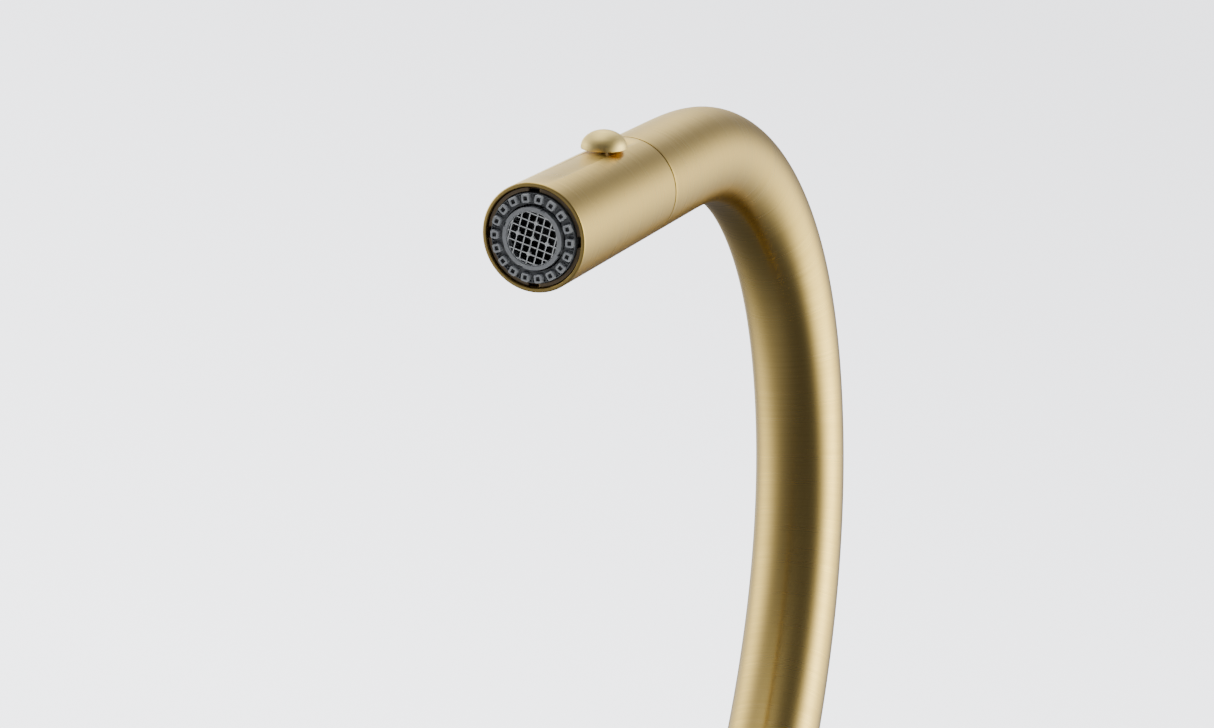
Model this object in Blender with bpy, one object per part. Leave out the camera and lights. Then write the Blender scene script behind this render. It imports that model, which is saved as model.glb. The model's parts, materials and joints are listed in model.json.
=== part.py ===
"""A single-lever mixer tap with a swivelling spout and a pull-out, two-jet spray head.

The origin is the centre of the deck hole, on the deck's surface. +Z is up, the spout's plane is x = 0,
the spray head points towards -Y and the lever is on +X. Sizes below are in millimetres and degrees.
"""

import math

import bmesh
import bpy
import numpy as np
from mathutils import Vector

MM = 0.001

# Driving dimensions: the tube that the spout and the spray head share
TUBE_RADIUS = 17.0
TUBE_BORE = 15.8
HEAD_LENGTH = 73.0
SEAM = 0.7
HEAD_PITCH = 17.0
HEAD_ROLL = 8.5

# Centre line, from the head's rim back over the crown and down to the foot
FRONT_STRAIGHT = 105.0
CROWN_EASE = 41.0
CROWN_ARC = 92.0
CROWN_RADIUS = 86.0
BACK_LENGTH = 141.0
BACK_RADIUS = 147.0
BACK_END_RADIUS = 317.0
FOOT_EASE_IN = 30.0
FOOT_EASE_OUT = 24.0
FOOT_RADIUS = 80.0
FOOT_STRAIGHT = 17.0

# Body and deck fixing
COLUMN_RADIUS = 20.0
COLUMN_FOOT = 4.8
COLUMN_TOP = 54.0
SPOUT_FOOT = 55.0
NOSE_RADIUS = 12.4
NOSE_TOP = 70.0
HOSE_RADIUS = 5.5
HOSE_WAY = 6.5
FRONT_RUN_END = 140.0
HOSE_SETTLED = 200.0
HOSE_END = -78.0
STOP_HEIGHT = 62.0
STOP_SWING = 72.0
FLANGE_RADIUS = 26.0
FLANGE_THICKNESS = 4.5
SHANK_RADIUS = 16.5
SHANK_BORE = 13.5
SHANK_END = -62.0
SOCKET_TOP = 14.6
DECK_THICKNESS = 20.0
TAIL_CIRCLE = 9.7
TAIL_SPREAD = 50.0
TAIL_RADIUS = 3.3
TAIL_BORE = 2.1

# Side arm, cartridge and lever
ARM_HEIGHT = 32.0
ARM_RADIUS = 17.0
ARM_END = 36.0
ARM_BORE = 13.1
SEAT = 15.5
PIVOT = 38.0
PORT_RADIUS = 2.2
PORT_SIDE = 6.4
PORT_DROP = 2.0
PORT_RISE = 5.5
STEM_TILT = 12.5
STEM_RADIUS = 3.0
STEM_TAIL = 12.6
COVER_OUTSIDE = 15.1
COVER_INSIDE = 14.1
COVER_OPENING = 58.0
CUP_RADIUS = 17.0
CUP_INSIDE = 15.5
CUP_NECK = 6.2
GRUB_PLACE = 12.6
LEVER_LEAN = 18.0
LEVER_REACH = 80.0

# Spray face and diverter
NOZZLES = 18
NOZZLE_CIRCLE = 12.4
NOZZLE_SIZE = 2.7
NOZZLE_HOLE = 1.3
PAD_RADIUS = 13.9
MESH_RADIUS = 8.45
MESH_PITCH = 2.49
MESH_TURN = 14.0
KNOB_PLACE = 52.9
KNOB_RADIUS = 7.4
KNOB_FOOT = 17.4
KNOB_TOP = 23.2

# Sides of the turned pieces
LARGE = 24
MEDIUM = 18
SMALL = 12


def clear_scene():
    for thing in list(bpy.data.objects):
        bpy.data.objects.remove(thing, do_unlink=True)


def finish_material(name, colour, metallic, roughness):
    material = bpy.data.materials.new(name)
    material.use_nodes = True
    shader = material.node_tree.nodes["Principled BSDF"]
    shader.inputs["Base Color"].default_value = (*colour, 1.0)
    shader.inputs["Metallic"].default_value = metallic
    shader.inputs["Roughness"].default_value = roughness
    return material


def frame(name, place, turn=(0, 0, 0), parent=None):
    """An empty that its pieces are drawn around. Place in millimetres, turn in degrees."""
    empty = bpy.data.objects.new(name, None)
    empty.empty_display_size = 10 * MM
    empty.location = Vector(place) * MM
    empty.rotation_euler = [math.radians(angle) for angle in turn]
    empty.parent = parent
    bpy.context.scene.collection.objects.link(empty)
    return empty


def add_mesh(name, shape, material, parent, smooth=True):
    """Turns a bmesh in millimetres into an object in metres."""
    bmesh.ops.scale(shape, verts=shape.verts, vec=(MM, MM, MM))
    bmesh.ops.recalc_face_normals(shape, faces=shape.faces)
    mesh = bpy.data.meshes.new(name)
    shape.to_mesh(mesh)
    shape.free()
    if smooth:
        mesh.shade_smooth()
        mesh.set_sharp_from_angle(angle=math.radians(35))
    if material:
        mesh.materials.append(material)
    piece = bpy.data.objects.new(name, mesh)
    piece.parent = parent
    bpy.context.scene.collection.objects.link(piece)
    return piece


def turned(name, outline, material=None, parent=None, sides=MEDIUM):
    """A piece turned about Z from its closed outline of (radius, height) points.

    An outline that starts and ends on the axis is left open there, because the axis closes it.
    """
    shape = bmesh.new()
    points = [shape.verts.new((radius, 0, height)) for radius, height in outline]
    solid = outline[0][0] == 0 and outline[-1][0] == 0
    for first, second in zip(points, points[1:] + ([] if solid else points[:1])):
        shape.edges.new((first, second))
    bmesh.ops.spin(
        shape,
        geom=shape.verts[:] + shape.edges[:],
        cent=(0, 0, 0),
        axis=(0, 0, 1),
        angle=math.tau,
        steps=sides,
        use_merge=True,
    )
    bmesh.ops.remove_doubles(shape, verts=shape.verts, dist=1e-5)
    return add_mesh(name, shape, material, parent)


def ring(name, bore, radius, low, high, material=None, parent=None, sides=MEDIUM):
    outline = [(bore, low), (radius, low), (radius, high), (bore, high)]
    return turned(name, outline, material, parent, sides)


def rod(name, radius, low, high, material=None, parent=None, sides=SMALL):
    outline = [(0, low), (radius, low), (radius, high), (0, high)]
    return turned(name, outline, material, parent, sides)


def seal_ring(name, middle, thickness, height, material, parent=None, sides=SMALL):
    """An O-ring: a round section swept about Z."""
    corners = [math.tau * step / 6 for step in range(6)]
    half = thickness / 2
    outline = [(middle + half * math.cos(a), height + half * math.sin(a)) for a in corners]
    return turned(name, outline, material, parent, sides)


def blocks(name, places, size, low, high, material=None, parent=None):
    """Square prisms along Z. Each place is (x, y, turn in radians)."""
    shape = bmesh.new()
    half = size / 2
    for x, y, turn in places:
        across, along = Vector((math.cos(turn), math.sin(turn))), Vector((-math.sin(turn), math.cos(turn)))
        corners = []
        for height in (low, high):
            for side, front in ((-half, -half), (half, -half), (half, half), (-half, half)):
                spot = Vector((x, y)) + across * side + along * front
                corners.append(shape.verts.new((spot.x, spot.y, height)))
        for face in ((3, 2, 1, 0), (4, 5, 6, 7), (0, 1, 5, 4), (1, 2, 6, 5), (2, 3, 7, 6), (3, 0, 4, 7)):
            shape.faces.new([corners[corner] for corner in face])
    return add_mesh(name, shape, material, parent, smooth=False)


def rods(name, places, radius, low, high, parent=None, sides=8):
    """Round prisms along Z, at (x, y) places."""
    shape = bmesh.new()
    for x, y in places:
        made = bmesh.ops.create_cone(
            shape, cap_ends=True, segments=sides, radius1=radius, radius2=radius, depth=high - low
        )
        bmesh.ops.translate(shape, verts=made["verts"], vec=(x, y, (low + high) / 2))
    return add_mesh(name, shape, None, parent)


def box(name, low, high, material=None, parent=None):
    shape = bmesh.new()
    bmesh.ops.create_cube(shape, size=1)
    for corner in shape.verts:
        for axis in range(3):
            corner.co[axis] = high[axis] if corner.co[axis] > 0 else low[axis]
    return add_mesh(name, shape, material, parent, smooth=False)


def combine(piece, other, operation):
    """Cuts the other shape from the piece, or joins it to the piece, and keeps it as a hidden guide."""
    other.hide_render = True
    other.display_type = "WIRE"
    change = piece.modifiers.new(f"{operation.lower()} {other.name}", "BOOLEAN")
    change.operation = operation
    change.solver = "EXACT"
    change.object = other


def cut(piece, *cutters):
    for cutter in cutters:
        combine(piece, cutter, "DIFFERENCE")


def join(piece, *others):
    for other in others:
        combine(piece, other, "UNION")


def circle_places(radius, count, start=0.0):
    angles = [math.radians(start) + math.tau * step / count for step in range(count)]
    return [(radius * math.cos(angle), radius * math.sin(angle), angle) for angle in angles]


def spout_stretches():
    """(length, curvature at its start, curvature at its end) from the rim to the foot.

    The arc at the foot is as long as it has to be for the tube to end straight down.
    """
    crown, back, back_end, foot = (
        1 / CROWN_RADIUS,
        1 / BACK_RADIUS,
        1 / BACK_END_RADIUS,
        -1 / FOOT_RADIUS,
    )
    stretches = [
        (FRONT_STRAIGHT, 0, 0),
        (CROWN_EASE, 0, crown),
        (CROWN_ARC, crown, crown),
        (CROWN_EASE, crown, back),
        (BACK_LENGTH, back, back_end),
        (FOOT_EASE_IN, back_end, foot),
    ]
    bent = sum(length * (first + last) / 2 for length, first, last in stretches)
    left = math.radians(HEAD_PITCH + 90) - bent - FOOT_EASE_OUT * foot / 2
    stretches += [(left / foot, foot, foot), (FOOT_EASE_OUT, foot, 0), (FOOT_STRAIGHT, 0, 0)]
    return stretches


def centre_line():
    """Distance from the rim, y, z and pitch along the spout, with the foot on the swivel axis."""
    ends, curvatures = [0.0], [0.0]
    for length, first, last in spout_stretches():
        ends += [ends[-1] + 1e-9, ends[-1] + length]
        curvatures += [first, last]
    distance = np.linspace(0, ends[-1], 2001)
    step = distance[1]
    curvature = np.interp(distance, ends, curvatures)
    bend = np.concatenate([[0], np.cumsum((curvature[1:] + curvature[:-1]) / 2) * step])
    pitch = math.radians(HEAD_PITCH) - bend
    middle = (pitch[1:] + pitch[:-1]) / 2
    y = np.concatenate([[0], np.cumsum(np.cos(middle)) * step])
    z = np.concatenate([[0], np.cumsum(np.sin(middle)) * step])
    return distance, y - y[-1], z - z[-1] + SPOUT_FOOT, pitch


LINE = centre_line()
SPOUT_LENGTH = float(LINE[0][-1])
RIM = (0.0, float(LINE[1][0]), float(LINE[2][0]))


def on_line(distance):
    """The centre line's point at a distance from the rim, and the direction that faces out of the bend."""
    y, z, pitch = (float(np.interp(distance, LINE[0], values)) for values in LINE[1:])
    return Vector((0, y, z)), Vector((0, -math.sin(pitch), math.cos(pitch)))


def spout_stations(start):
    """Distances along the spout, close together where it bends."""
    stations, reached = [start], 0.0
    for length, first, last in spout_stretches():
        pieces = 1 if first == last == 0 else max(2, round(length / 17))
        stations += [reached + length * (step + 1) / pieces for step in range(pieces)]
        reached += length
    return [stations[0]] + [place for place in stations[1:] if place > start + 1]


def swept_pipe(name, stations, radius, bore, material, sides):
    """A pipe along the centre line, open at both ends."""
    shape = bmesh.new()
    loops = []
    for skin in (radius, bore):
        rings = []
        for distance in stations:
            centre, out = on_line(distance)
            spots = []
            for step in range(sides):
                angle = math.tau * step / sides
                spot = centre + skin * (math.cos(angle) * out + math.sin(angle) * Vector((1, 0, 0)))
                spots.append(shape.verts.new(spot))
            rings.append(spots)
        loops.append(rings)
    outer, inner = loops
    strips = [*zip(outer, outer[1:]), *zip(inner, inner[1:]), (outer[0], inner[0]), (outer[-1], inner[-1])]
    for first, second in strips:
        for step in range(sides):
            after = (step + 1) % sides
            shape.faces.new((first[step], first[after], second[after], second[step]))
    return add_mesh(name, shape, material, None)


def build_spray_head(head, brass, bronze, silicone, grey, white, black, rubber, steel):
    """Everything that comes away in the hand, drawn around the head's axis with +Z into the head."""
    shell = turned(
        "head_shell",
        [
            (15.6, 0.5), (16.0, 0), (16.6, 0), (TUBE_RADIUS, 0.5),
            (TUBE_RADIUS, HEAD_LENGTH - 0.25), (TUBE_RADIUS - 0.25, HEAD_LENGTH), (15.6, HEAD_LENGTH),
        ],
        brass, head, LARGE,
    )
    side_way = frame("stem_way_frame", (0, 0, KNOB_PLACE), (90, 0, 0), head)
    cut(shell, rod("stem_way", 4.2, 10, 20, None, side_way))

    retainer = ring("face_retainer", PAD_RADIUS + 0.3, 15.35, 0.9, 6.5, bronze, head, LARGE)
    keys = circle_places(14.8, 4)
    cut(retainer, blocks("key_notches", keys, 3.4, 0.2, 2.6, None, head))

    pad = turned(
        "nozzle_ring",
        [(10.3, 0.6), (PAD_RADIUS, 0.6), (PAD_RADIUS, 5.6), (10.3, 5.6)],
        silicone, head, LARGE,
    )
    nozzles = circle_places(NOZZLE_CIRCLE, NOZZLES)
    join(pad, blocks("nozzle_tips", nozzles, NOZZLE_SIZE, -1.2, 1.4, None, head))
    cut(pad, blocks("nozzle_holes", nozzles, NOZZLE_HOLE, -2, 7, None, head))

    plate = ring("nozzle_plate", 10.1, 15.3, 6.9, 9.4, grey, head)
    cut(plate, blocks("plate_holes", nozzles, 1.5, 6, 10, None, head))

    turned(
        "aerator_frame",
        [
            (MESH_RADIUS, -1.0), (9.76, -1.0), (9.76, 12.6), (8.9, 12.6), (8.9, 6.4), (MESH_RADIUS, 6.4),
        ],
        grey, head,
    )
    reach = int(MESH_RADIUS // MESH_PITCH) + 1
    turn = math.radians(MESH_TURN)
    screens = (
        ("aerator_screen", -0.7, 0.1, 0.5, grey),
        ("aerator_second_screen", 2.0, 2.8, 0.0, black),
    )
    for name, low, high, shift, material in screens:
        screen = rod(name, MESH_RADIUS - 0.15, low, high, material, head, MEDIUM)
        cells = []
        for row in range(-reach - 1, reach + 1):
            for column in range(-reach - 1, reach + 1):
                across, along = (column + shift) * MESH_PITCH, (row + shift) * MESH_PITCH
                x = across * math.cos(turn) - along * math.sin(turn)
                y = across * math.sin(turn) + along * math.cos(turn)
                if math.hypot(x, y) < MESH_RADIUS - 1.75:
                    cells.append((x, y, turn))
        cut(screen, blocks(f"{name}_cells", cells, MESH_PITCH - 0.6, low - 1, high + 1, None, head))

    core = turned(
        "aerator_core",
        [(0, 6.8), (2.0, 6.8), (3.0, 8.6), (8.6, 8.6), (8.6, 12.2), (0, 12.2)],
        black, head,
    )
    cut(core, blocks("core_jets", circle_places(5.8, 8), 1.7, 6, 13, None, head))

    body = turned(
        "head_core",
        [
            (7.0, 13.4), (11.0, 13.4), (11.0, 15.4), (13.6, 15.4), (13.6, 13.4), (15.3, 13.4),
            (15.3, 65.6), (6.0, 65.6), (6.0, 30.0), (7.0, 28.0),
        ],
        grey, head,
    )
    cut(
        body,
        rod("valve_way", 5.9, -11.0, 9.2, None, side_way),
        rod("guide_way", 4.25, 8.0, 18, None, side_way),
    )

    collar = turned(
        "docking_collar",
        [
            (7.0, 66.0), (15.3, 66.0), (15.3, 72.2), (13.2, 73.4), (13.2, 91.6), (12.7, 92.2),
            (8.6, 92.2), (8.6, 67.6), (7.0, 67.6),
        ],
        grey, head,
    )
    ring("collar_keeper_ring", 9.0, 12.9, 92.5, 94.6, steel, head)
    strainer = rod("inlet_filter", 8.3, 67.9, 68.9, white, head, MEDIUM)
    cut(strainer, blocks("filter_holes", circle_places(4.9, 10), 2.0, 67, 70, None, head))
    turned(
        "check_valve",
        [(2.6, 69.2), (8.3, 69.2), (8.3, 71.5), (7.0, 71.5), (7.0, 79.6), (2.6, 79.6)],
        white, head,
    )
    turned(
        "hose_nut",
        [(6.3, 84.3), (8.3, 84.3), (8.3, 91.0), (7.6, 91.6), (6.3, 91.6)],
        brass, head, SMALL,
    )
    ring("diverter_guide_bush", 1.85, 3.95, 12.0, 16.7, brass, side_way, SMALL)
    seal_ring("stem_o_ring", 2.9, 1.6, 10.6, rubber, side_way)


def build_diverter(head, brass, grey, rubber, steel):
    """The pull-up knob that changes the jet, with its stem, piston and spring. +Z is out of the head."""
    axis = frame("diverter_frame", (0, 0, KNOB_PLACE), (90, 0, 0), head)
    stages = 5
    dome = [
        (KNOB_RADIUS * math.cos(a), KNOB_FOOT + 0.3 + (KNOB_TOP - KNOB_FOOT - 0.3) * math.sin(a))
        for a in [math.pi / 2 * step / stages for step in range(stages)]
    ]
    knob = turned(
        "diverter_knob",
        [
            (0, KNOB_FOOT), (KNOB_RADIUS - 0.2, KNOB_FOOT), *dome, (0, KNOB_TOP),
        ],
        brass, axis, LARGE,
    )
    cut(knob, rod("stem_socket", 1.75, KNOB_FOOT - 2, KNOB_FOOT + 3.6, None, axis))
    rod("diverter_stem", 1.6, 1.5, KNOB_FOOT + 3.3, steel, axis)
    piston = turned(
        "diverter_piston",
        [
            (0, -7.0), (4.6, -7.0), (5.6, -6.0), (5.6, -4.6), (4.8, -4.6), (4.8, -3.0), (5.6, -3.0),
            (5.6, 1.0), (0, 1.0),
        ],
        grey, axis, SMALL,
    )
    cut(piston, rod("piston_way", 1.0, 0.2, 3, None, axis, 8))
    seal_ring("piston_o_ring", 5.25, 0.8, -3.8, rubber, axis)
    spring = bpy.data.curves.new("diverter_spring", "CURVE")
    spring.dimensions = "3D"
    spring.bevel_depth = 0.3 * MM
    spring.bevel_resolution = 1
    spring.use_fill_caps = True
    turns, steps, low, high = 4, 8, 1.5, 9.0
    wire = spring.splines.new("POLY")
    wire.points.add(turns * steps)
    for step, point in enumerate(wire.points):
        angle = math.tau * step / steps
        height = low + (high - low) * step / (turns * steps)
        point.co = (2.6 * MM * math.cos(angle), 2.6 * MM * math.sin(angle), height * MM, 1)
    spring.materials.append(steel)
    coil = bpy.data.objects.new("diverter_spring", spring)
    coil.parent = axis
    bpy.context.scene.collection.objects.link(coil)


def build_hose(dock, brass, steel, braid):
    """The pull-out hose's coupling and its first, straight run, then the run that stays in the spout."""
    turned(
        "hose_connector",
        [
            (2.6, 80.4), (8.2, 80.4), (8.2, 83.9), (6.0, 83.9), (6.0, 100.0), (3.6, 100.0),
            (3.6, 117.0), (2.6, 117.0),
        ],
        brass, dock, SMALL,
    )
    ring("hose_ferrule", HOSE_RADIUS + 0.3, 6.6, 100.5, 118.0, steel, dock, SMALL)
    ring("hose_front_run", 3.9, HOSE_RADIUS, 100.4, FRONT_RUN_END, braid, dock, SMALL)


def hose_route():
    """Points along the middle of the hose inside the spout, from the front run's end to below the shank.

    The straight front run ends a little off the centre line, and the hose comes back to the line by
    HOSE_SETTLED.
    """
    end, out = on_line(FRONT_RUN_END)
    pitch = math.radians(HEAD_PITCH)
    straight = Vector(RIM) + FRONT_RUN_END * Vector((0, math.cos(pitch), math.sin(pitch)))
    offset = (straight - end).dot(out)
    local_pitch = float(np.interp(FRONT_RUN_END, LINE[0], LINE[3]))
    slope = math.tan(pitch - local_pitch)
    span = HOSE_SETTLED - FRONT_RUN_END
    points = []
    for distance in np.arange(FRONT_RUN_END + 1.2, SPOUT_LENGTH, 13.0):
        centre, out = on_line(distance)
        t = min(1.0, (distance - FRONT_RUN_END) / span)
        aside = offset * (2 * t**3 - 3 * t**2 + 1) + slope * span * (t**3 - 2 * t**2 + t)
        points.append(centre + out * aside)
    for height in np.arange(SPOUT_FOOT - 10, HOSE_END, -20.0):
        points.append(Vector((0, 0, height)))
    points.append(Vector((0, 0, HOSE_END)))
    return points


def build_spout_hose(braid, brass):
    hose = bpy.data.curves.new("hose_spout_run", "CURVE")
    hose.dimensions = "3D"
    hose.bevel_depth = HOSE_RADIUS * MM
    hose.bevel_resolution = 2
    hose.use_fill_caps = True
    route = hose_route()
    line = hose.splines.new("POLY")
    line.points.add(len(route) - 1)
    for point, place in zip(line.points, route):
        point.co = (*(place * MM), 1)
    hose.materials.append(braid)
    run = bpy.data.objects.new("hose_spout_run", hose)
    bpy.context.scene.collection.objects.link(run)
    turned(
        "hose_end_connector",
        [
            (2.6, -104.0), (4.6, -104.0), (4.6, -94.0), (6.4, -93.0), (6.4, -78.6), (2.6, -78.6),
        ],
        brass, None, SMALL,
    )


def build_spout(dock, brass, grey, magnet, white, steel):
    tube = swept_pipe("spout_tube", spout_stations(HEAD_LENGTH + SEAM), TUBE_RADIUS, TUBE_BORE, brass, LARGE)
    screw_axis = frame("stop_screw_frame", (0, 0, STOP_HEIGHT), (-90, 0, 0))
    cut(tube, rod("tube_screw_hole", 2.2, 10, 20, None, screw_axis))
    ring("docking_bush", 13.6, 15.5, 73.9, 95.4, grey, dock)
    ring("docking_magnet", 10.0, 15.4, 95.9, 101.5, magnet, dock)
    sleeve = ring("spout_sleeve", 13.4, 15.5, SPOUT_FOOT + 0.2, NOSE_TOP, brass, None, LARGE)
    cut(sleeve, rod("sleeve_screw_hole", 2.2, 10, 20, None, screw_axis))
    ring("upper_glide_ring", NOSE_RADIUS + 0.15, 13.15, 65.6, 69.7, white, None, LARGE)
    screw = rod("stop_screw", 1.9, 11.7, 16.5, steel, screw_axis)
    socket = rod("screw_hex", 1.1, 14.6, 18, None, screw_axis, 6)
    cut(screw, socket)


def build_body(arm, brass, rubber, white):
    """The cast column with its side arm and the nose that the spout turns on."""
    column = turned(
        "body_column",
        [
            (HOSE_WAY, SOCKET_TOP), (SHANK_RADIUS + 0.3, SOCKET_TOP), (SHANK_RADIUS + 0.3, COLUMN_FOOT),
            (COLUMN_RADIUS, COLUMN_FOOT), (COLUMN_RADIUS, COLUMN_TOP - 0.8),
            (COLUMN_RADIUS - 0.8, COLUMN_TOP), (NOSE_RADIUS, COLUMN_TOP), (NOSE_RADIUS, 56.6),
            (11.4, 56.6), (11.4, 58.6), (NOSE_RADIUS, 58.6), (NOSE_RADIUS, NOSE_TOP - 0.6),
            (NOSE_RADIUS - 0.6, NOSE_TOP), (HOSE_WAY, NOSE_TOP),
        ],
        brass, None, LARGE,
    )
    join(column, rod("arm", ARM_RADIUS, 8, ARM_END, None, arm, LARGE))
    cut(column, rod("arm_bore", ARM_BORE, SEAT, ARM_END + 4, None, arm, MEDIUM))

    tails = tail_places()
    low, high = ARM_HEIGHT - PORT_DROP, ARM_HEIGHT + PORT_RISE
    for name, top in (("cold", low), ("hot", low), ("mixed", high)):
        x, y = tails[name]
        way = rods(f"{name}_way", [(x, y)], TAIL_BORE, SOCKET_TOP - 2, top + 1.5)
        seat = rods(f"{name}_tail_seat", [(x, y)], TAIL_RADIUS + 0.2, SOCKET_TOP - 1, 22, None, 12)
        side = math.copysign(PORT_SIDE, y) if y else 0
        start = min(x, 6.5) if y else x
        port = rods(f"{name}_port", [(ARM_HEIGHT - top, side)], PORT_RADIUS, start, SEAT + 1, arm)
        cut(column, way, seat, port)

    groove = stop_groove()
    cut(column, groove)
    seal_ring("swivel_o_ring", 12.5, 1.4, 57.6, rubber, None, LARGE)
    ring(
        "lower_glide_ring", NOSE_RADIUS + 0.3, TUBE_RADIUS - 0.3, COLUMN_TOP + 0.2, SPOUT_FOOT - 0.2,
        white, None, LARGE,
    )


def stop_groove():
    """The nose's slot that the stop screw's tip travels in: a square section spun about Z."""
    shape = bmesh.new()
    start = math.radians(90 - STOP_SWING)
    section = []
    for radius, height in ((11.2, 59.8), (13.0, 59.8), (13.0, 64.2), (11.2, 64.2)):
        section.append(shape.verts.new((radius * math.cos(start), radius * math.sin(start), height)))
    face = shape.faces.new(section)
    bmesh.ops.spin(
        shape,
        geom=[face],
        cent=(0, 0, 0),
        axis=(0, 0, 1),
        angle=math.radians(2 * STOP_SWING),
        steps=12,
    )
    return add_mesh("stop_groove", shape, None, None)


def tail_places():
    """Where the three pipe tails enter the body: cold in front, hot behind, mixed water between them."""
    spread = math.radians(TAIL_SPREAD)
    x, y = TAIL_CIRCLE * math.cos(spread), TAIL_CIRCLE * math.sin(spread)
    return {"cold": (x, -y), "hot": (x, y), "mixed": (TAIL_CIRCLE, 0.0)}


def build_tails(copper):
    for name, (x, y) in tail_places().items():
        place = frame(f"{name}_tail_frame", (x, y, 0))
        turned(
            f"{name}_water_tail",
            [
                (TAIL_BORE, -72.0), (3.9, -72.0), (3.9, -68.5), (TAIL_RADIUS, -67.5),
                (TAIL_RADIUS, 21.5), (TAIL_BORE, 21.5),
            ],
            copper, place, SMALL,
        )


def build_deck_fixing(brass, rubber, steel):
    turned(
        "base_flange",
        [
            (SHANK_RADIUS + 0.4, 0), (19.0, 0), (19.0, 1.7), (24.0, 1.7), (24.0, 0), (FLANGE_RADIUS, 0),
            (FLANGE_RADIUS, FLANGE_THICKNESS - 1.2), (FLANGE_RADIUS - 0.4, FLANGE_THICKNESS - 0.4),
            (FLANGE_RADIUS - 1.2, FLANGE_THICKNESS), (SHANK_RADIUS + 0.4, FLANGE_THICKNESS),
        ],
        brass, None, LARGE,
    )
    ring("base_gasket", 19.5, 23.3, 0.0, 1.4, rubber, None, LARGE)
    ring("threaded_shank", SHANK_BORE, SHANK_RADIUS, SHANK_END, SOCKET_TOP - 0.3, brass)
    under = -DECK_THICKNESS
    ring("clamp_rubber_washer", SHANK_RADIUS + 0.4, 24.0, under - 3.0, under, rubber)
    ring("clamp_steel_washer", SHANK_RADIUS + 0.4, 23.5, under - 5.4, under - 3.3, steel)
    nut = rod("clamp_nut", 23.0, under - 14.0, under - 5.7, brass, None, 6)
    cut(nut, rod("nut_thread", SHANK_RADIUS + 0.4, under - 16, under, None, None, MEDIUM))


def build_cartridge(arm, brass, white, ceramic, rubber, grey, steel):
    """The ceramic mixing cartridge in the side arm, from the seat outwards. +Z is out along the arm."""
    port_places = [(PORT_DROP, -PORT_SIDE), (PORT_DROP, PORT_SIDE), (-PORT_RISE, 0.0)]
    for name, radius, low, high, material in (
        ("cartridge_seal", 12.4, 15.8, 17.0, rubber),
        ("cartridge_base", 12.5, 17.3, 20.1, white),
        ("fixed_disc", 10.2, 20.4, 22.9, ceramic),
    ):
        plate = rod(name, radius, low, high, material, arm, MEDIUM)
        cut(plate, rods(f"{name}_ports", port_places, PORT_RADIUS, low - 1, high + 1, arm))
    turned(
        "cartridge_housing",
        [
            (10.6, 20.5), (12.6, 20.5), (12.6, 31.0), (10.2, 31.0), (10.2, 41.0), (9.1, 41.0),
            (9.1, 27.0), (10.6, 27.0),
        ],
        white, arm,
    )
    ring("cartridge_nut", 10.5, 12.8, 31.3, 34.3, brass, arm)
    turned("ball_cover", ball_cover_outline(), brass, arm, LARGE)

    carrier = frame("carrier_frame", (PIVOT, 0, ARM_HEIGHT), (0, 90, 0))
    rotor = rod("cartridge_rotor", 8.8, -10.8, 4.0, grey, carrier, MEDIUM)
    cut(rotor, box("rotor_slot", (-5.0, -3.6, -12), (5.0, 3.6, 6), None, carrier))
    across = frame("pivot_pin_frame", (PIVOT, 0, ARM_HEIGHT), (90, 0, 0))
    cut(rotor, rod("rotor_pin_hole", 1.6, -10, 10, None, across, 12))
    rod("pivot_pin", 1.45, -8.5, 8.5, steel, across, 12)

    drop = STEM_TAIL * math.sin(math.radians(STEM_TILT))
    slider_frame = frame("slider_frame", (PIVOT, 0, ARM_HEIGHT - drop), (0, 90, 0))
    slider = rod("moving_disc", 7.3, -14.8, -11.8, ceramic, slider_frame, MEDIUM)
    cut(
        slider,
        rod("mixing_pocket", 5.4, -16, -13.6, None, slider_frame, 12),
        box("stem_pocket", (-2.3, -2.3, -13.2), (2.3, 2.3, -10), None, slider_frame),
    )


def ball_arc(radius, first, last, stages, centre=0.0):
    """Points of a ball's outline about a centre on the axis, between two angles from the axis."""
    angles = [first + (last - first) * step / stages for step in range(stages + 1)]
    return [(radius * math.sin(a), centre + radius * math.cos(a)) for a in angles]


def ball_cover_outline():
    """A zone of a ball about the pivot, from its opening for the stem back to a spigot in the arm."""
    opening, back, stages = math.radians(COVER_OPENING), math.radians(96), 3
    outer = ball_arc(COVER_OUTSIDE, opening, back, stages, PIVOT)
    inner = ball_arc(COVER_INSIDE, opening, back, stages, PIVOT)[-2::-1]
    return [*outer, (12.8, outer[-1][1]), (12.8, 34.7), (11.6, 34.7), (11.6, 37.6), *inner]


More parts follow.
